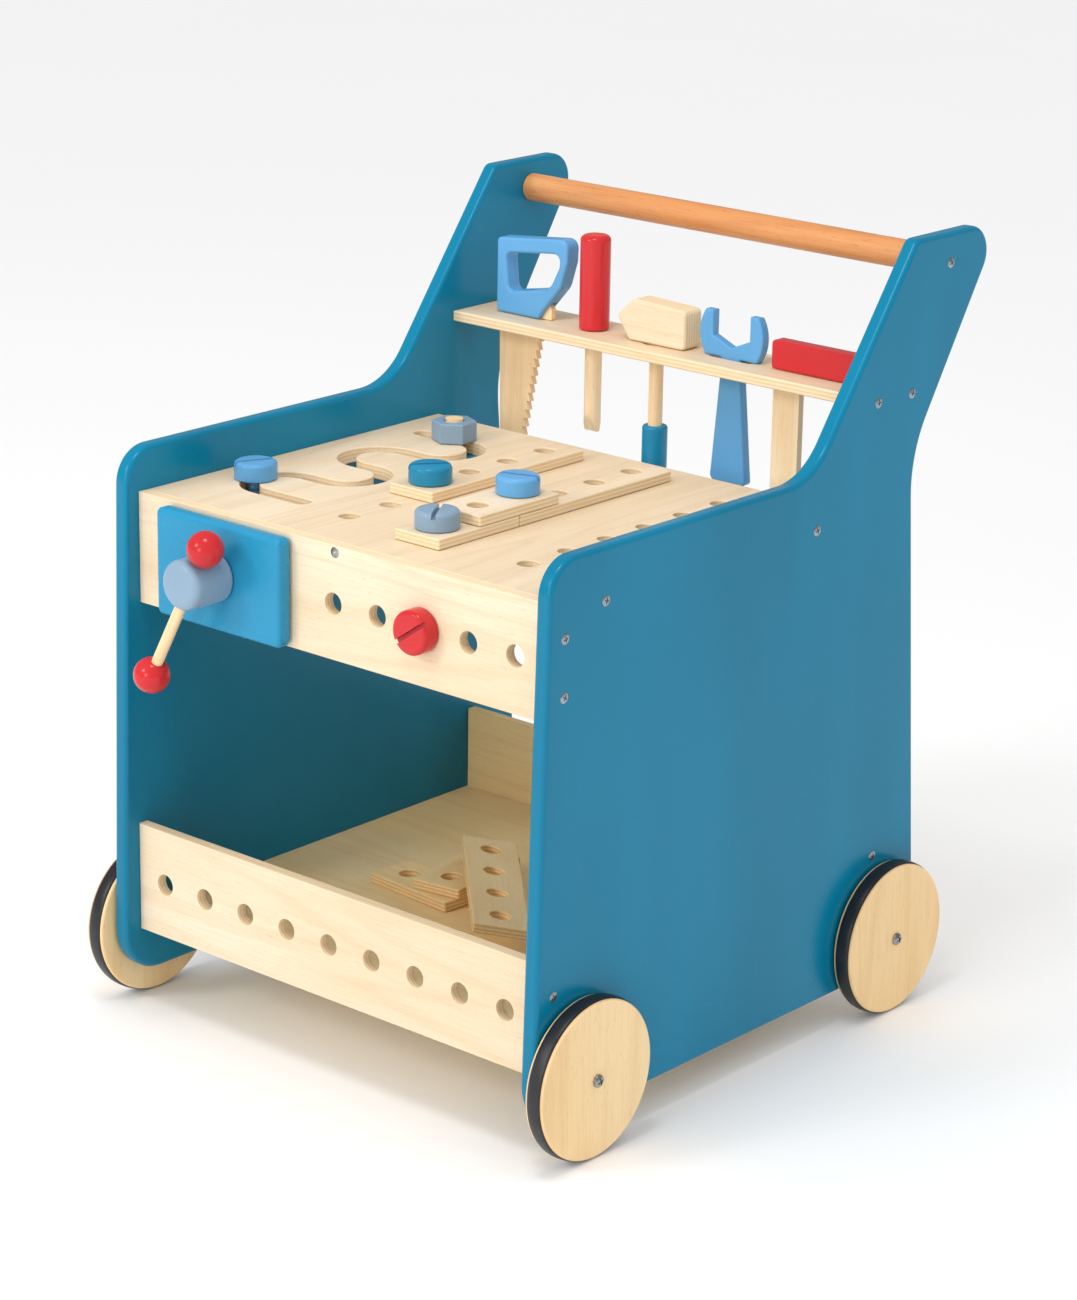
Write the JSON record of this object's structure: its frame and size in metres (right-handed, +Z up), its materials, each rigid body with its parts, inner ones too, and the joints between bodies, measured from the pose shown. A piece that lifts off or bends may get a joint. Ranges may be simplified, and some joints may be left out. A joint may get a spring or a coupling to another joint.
{
  "type": "toy tool bench",
  "caption": "Wooden push-along toy workbench on four wheels with a vise, a tool rack with five tools, a sliding-bolt track, and bolts, nuts and perforated strips to build with.",
  "frame": {"origin": "on the floor at the middle of the whole bench's footprint", "axes": "+Z up, the front with the vise faces -Y, +X is to the right seen from the front"},
  "size_m": [0.4362, 0.5004, 0.56],
  "materials": {
    "blue_paint": "satin paint on birch plywood, edges rounded",
    "light_blue_paint": "satin paint on beech",
    "grey_blue_paint": "satin paint on beech",
    "teal_paint": "satin paint on beech",
    "red_paint": "satin paint on beech",
    "birch_ply": "sanded birch plywood under clear matt lacquer, plies showing on the edges",
    "beech": "turned beech under clear matt lacquer",
    "rubber_tyre": "smooth black rubber",
    "steel": "zinc-plated steel"
  },
  "bodies": {
    "bench": {"left_side_panel": "blue_paint", "right_side_panel": "blue_paint", "table_top": "birch_ply", "front_apron": "birch_ply", "front_rail": "birch_ply", "rear_rail": "birch_ply", "bottom_shelf": "birch_ply", "tool_rack": "birch_ply", "handle_bar": "beech", "vise_nut": "beech", "axle_screw_front_left": "steel", "axle_screw_front_right": "steel", "axle_screw_rear_left": "steel", "axle_screw_rear_right": "steel", "washer_front_left": "steel", "washer_front_right": "steel", "washer_rear_left": "steel", "washer_rear_right": "steel"},
    "wheel_front_left": {"wheel_disc_front_left": "birch_ply", "tyre_front_left": "rubber_tyre"},
    "wheel_front_right": {"wheel_disc_front_right": "birch_ply", "tyre_front_right": "rubber_tyre"},
    "wheel_rear_left": {"wheel_disc_rear_left": "birch_ply", "tyre_rear_left": "rubber_tyre"},
    "wheel_rear_right": {"wheel_disc_rear_right": "birch_ply", "tyre_rear_right": "rubber_tyre"},
    "vise_slider": {"vise_jaw": "blue_paint", "vise_guide_left": "beech", "vise_guide_right": "beech"},
    "vise_screw": {"vise_spindle": "beech", "vise_knob": "grey_blue_paint"},
    "vise_tommy_bar": {"vise_handle": "beech", "vise_ball_lower": "red_paint", "vise_ball_upper": "red_paint"},
    "saw": {"saw_handle": "light_blue_paint", "saw_blade": "beech"},
    "screwdriver": {"screwdriver_handle": "red_paint", "screwdriver_shaft": "beech"},
    "hammer": {"hammer_head": "birch_ply", "hammer_shaft": "beech", "hammer_grip": "teal_paint"},
    "open_wrench": {"wrench": "light_blue_paint"},
    "try_square": {"square_stock": "red_paint", "square_blade": "beech"},
    "track_runner": {"track_bolt": "light_blue_paint", "track_bolt_nut": "red_paint"},
    "stud": {"track_stud": "teal_paint"},
    "stud_nut": {"hex_nut": "grey_blue_paint"},
    "long_strip": {"strip_long": "birch_ply"},
    "teal_fastener": {"teal_bolt": "teal_paint"},
    "front_strip": {"strip_front": "birch_ply"},
    "rear_strip": {"strip_rear": "birch_ply"},
    "bridge_strip": {"strip_bridge": "birch_ply"},
    "grey_fastener": {"grey_bolt": "grey_blue_paint"},
    "light_blue_fastener": {"light_blue_bolt": "light_blue_paint"},
    "red_fastener": {"red_bolt": "red_paint"},
    "loose_low": {"loose_strip_low": "birch_ply"},
    "loose_middle": {"loose_strip_middle": "birch_ply"},
    "loose_long": {"loose_strip_long": "birch_ply"}
  },
  "joints": [
    {"name": "front_left_wheel_spin", "type": "hinge", "parent": "bench", "child": "wheel_front_left", "pos_m": [-0.2073, -0.17567, 0.0562], "axis": [1, 0, 0], "continuous": true},
    {"name": "front_right_wheel_spin", "type": "hinge", "parent": "bench", "child": "wheel_front_right", "pos_m": [0.2073, -0.17567, 0.0562], "axis": [1, 0, 0], "continuous": true},
    {"name": "rear_left_wheel_spin", "type": "hinge", "parent": "bench", "child": "wheel_rear_left", "pos_m": [-0.2073, 0.15552, 0.0562], "axis": [1, 0, 0], "continuous": true},
    {"name": "rear_right_wheel_spin", "type": "hinge", "parent": "bench", "child": "wheel_rear_right", "pos_m": [0.2073, 0.15552, 0.0562], "axis": [1, 0, 0], "continuous": true},
    {"name": "vise_jaw_slide", "type": "slide", "parent": "bench", "child": "vise_slider", "axis": [0, -1, 0], "range_m": [0, 0.03]},
    {"name": "vise_knob_turn", "type": "hinge", "parent": "vise_slider", "child": "vise_screw", "pos_m": [-0.096, -0.22148, 0.3425], "axis": [0, -1, 0], "range_deg": [0, 900]},
    {"name": "tommy_bar_slide", "type": "slide", "parent": "vise_screw", "child": "vise_tommy_bar", "axis": [0.4741, 0, 0.8805], "range_m": [0, 0.052]},
    {"name": "saw_lift", "type": "slide", "parent": "bench", "child": "saw", "axis": [0, 0, 1], "range_m": [0, 0.11]},
    {"name": "screwdriver_lift", "type": "slide", "parent": "bench", "child": "screwdriver", "axis": [0, 0, 1], "range_m": [0, 0.08]},
    {"name": "hammer_lift", "type": "slide", "parent": "bench", "child": "hammer", "axis": [0, 0, 1], "range_m": [0, 0.115]},
    {"name": "wrench_lift", "type": "slide", "parent": "bench", "child": "open_wrench", "axis": [0, 0, 1], "range_m": [0, 0.095]},
    {"name": "square_lift", "type": "slide", "parent": "bench", "child": "try_square", "axis": [0, 0, 1], "range_m": [0, 0.095]},
    {"name": "track_bolt_travel", "type": "hinge", "parent": "bench", "child": "track_runner", "pos_m": [-0.1288, -0.11622, 0.381], "axis": [0, 0, 1], "range_deg": [-70, 70]},
    {"name": "track_stud_slide", "type": "slide", "parent": "bench", "child": "stud", "axis": [-1, 0, 0], "range_m": [-0.0105, 0.03]},
    {"name": "hex_nut_turn", "type": "hinge", "parent": "stud", "child": "stud_nut", "pos_m": [-0.1244, 0.05353, 0.388], "axis": [0, 0, 1], "continuous": true},
    {"name": "strip_long_lift", "type": "slide", "parent": "bench", "child": "long_strip", "axis": [0, 0, 1], "range_m": [0, 0.03]},
    {"name": "teal_bolt_lift", "type": "slide", "parent": "long_strip", "child": "teal_fastener", "axis": [0, 0, 1], "range_m": [0, 0.045]},
    {"name": "strip_front_lift", "type": "slide", "parent": "bench", "child": "front_strip", "axis": [0, 0, 1], "range_m": [0, 0.03]},
    {"name": "grey_bolt_lift", "type": "slide", "parent": "front_strip", "child": "grey_fastener", "axis": [0, 0, 1], "range_m": [0, 0.045]},
    {"name": "strip_bridge_lift", "type": "slide", "parent": "front_strip", "child": "bridge_strip", "axis": [0, 0, 1], "range_m": [0, 0.03]},
    {"name": "light_blue_bolt_lift", "type": "slide", "parent": "bridge_strip", "child": "light_blue_fastener", "axis": [0, 0, 1], "range_m": [0, 0.055]},
    {"name": "strip_rear_lift", "type": "slide", "parent": "bench", "child": "rear_strip", "axis": [0, 0, 1], "range_m": [0, 0.03]},
    {"name": "red_bolt_pull", "type": "slide", "parent": "bench", "child": "red_fastener", "axis": [0, -1, 0], "range_m": [0, 0.045]},
    {"name": "loose_strip_low_lift", "type": "slide", "parent": "bench", "child": "loose_low", "axis": [0, 0, 1], "range_m": [0, 0.03]},
    {"name": "loose_strip_middle_lift", "type": "slide", "parent": "loose_low", "child": "loose_middle", "axis": [0, 0, 1], "range_m": [0, 0.03]},
    {"name": "loose_strip_long_lift", "type": "slide", "parent": "loose_middle", "child": "loose_long", "axis": [0, 0, 1], "range_m": [0, 0.03]}
  ],
  "couplings": [
    {"joint": "vise_jaw_slide", "follows": "vise_knob_turn", "m_per_rad": 0.0019098},
    {"joint": "strip_rear_lift", "follows": "strip_front_lift", "ratio": 1}
  ]
}
